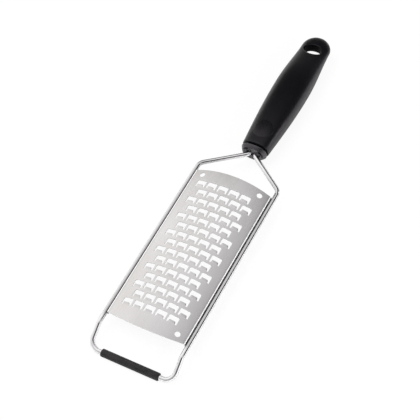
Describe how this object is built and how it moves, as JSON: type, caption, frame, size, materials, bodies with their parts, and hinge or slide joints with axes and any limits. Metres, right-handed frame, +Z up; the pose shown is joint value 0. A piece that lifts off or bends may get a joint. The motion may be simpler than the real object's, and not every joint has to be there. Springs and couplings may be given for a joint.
{
  "type": "flat grater",
  "caption": "Flat hand grater: an arched scoop blade on a bent wire frame, with a rubber sleeved foot bar and a moulded handle that ends in a hanging hole.",
  "frame": {"origin": "middle of the outer box, on the surface that the grater lies on", "axes": "+Y along the grater from the foot bar to the end of the handle, +Z up out of the cutting side, +X across it"},
  "size_m": [0.065, 0.295, 0.0217],
  "materials": {
    "polished_wire": "polished stainless wire with fine drawing marks",
    "blade_sheet": "satin stainless sheet with a fine grain along the blade",
    "sleeve_rubber": "matte black rubber with a soft mottle",
    "plug_plastic": "satin black moulded plastic",
    "grip_plastic": "soft-touch black with a fine moulded grain",
    "pad_plastic": "satin black, slightly glossier than the grip"
  },
  "bodies": {
    "root": {"wire_frame": "polished_wire", "grater_blade": "blade_sheet", "foot_sleeve": "sleeve_rubber", "handle_plug": "plug_plastic", "handle_grip": "grip_plastic", "grip_pad": "pad_plastic"}
  },
  "joints": []
}
